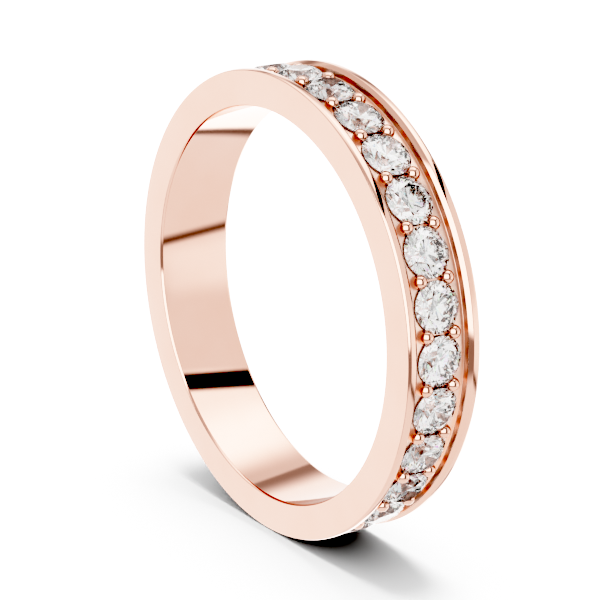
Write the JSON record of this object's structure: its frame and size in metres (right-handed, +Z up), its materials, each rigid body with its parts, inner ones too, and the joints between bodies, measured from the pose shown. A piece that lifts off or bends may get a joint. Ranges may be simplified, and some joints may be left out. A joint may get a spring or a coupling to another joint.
{
  "type": "eternity wedding band",
  "caption": "Slim flat-sided rose gold wedding band, set all the way round with round brilliant diamonds between two raised rails and held by pairs of small shared beads.",
  "frame": {"origin": "centre of the bore, midway between the two flat side faces", "axes": "+Y along the bore, from the front side face to the back one; +Z up through the first stone, as the band stands on its rim"},
  "size_m": [0.02, 0.0036, 0.02],
  "materials": {
    "rose_gold": "high polish",
    "diamond": "polished facets"
  },
  "bodies": {
    "root": {"shank": "rose_gold", "diamond_01": "diamond", "diamond_02": "diamond", "diamond_03": "diamond", "diamond_04": "diamond", "diamond_05": "diamond", "diamond_06": "diamond", "diamond_07": "diamond", "diamond_08": "diamond", "diamond_09": "diamond", "diamond_10": "diamond", "diamond_11": "diamond", "diamond_12": "diamond", "diamond_13": "diamond", "diamond_14": "diamond", "diamond_15": "diamond", "diamond_16": "diamond", "diamond_17": "diamond", "diamond_18": "diamond", "diamond_19": "diamond", "diamond_20": "diamond", "diamond_21": "diamond", "diamond_22": "diamond", "diamond_23": "diamond", "diamond_24": "diamond", "diamond_25": "diamond", "diamond_26": "diamond", "diamond_27": "diamond", "diamond_28": "diamond"}
  },
  "joints": []
}
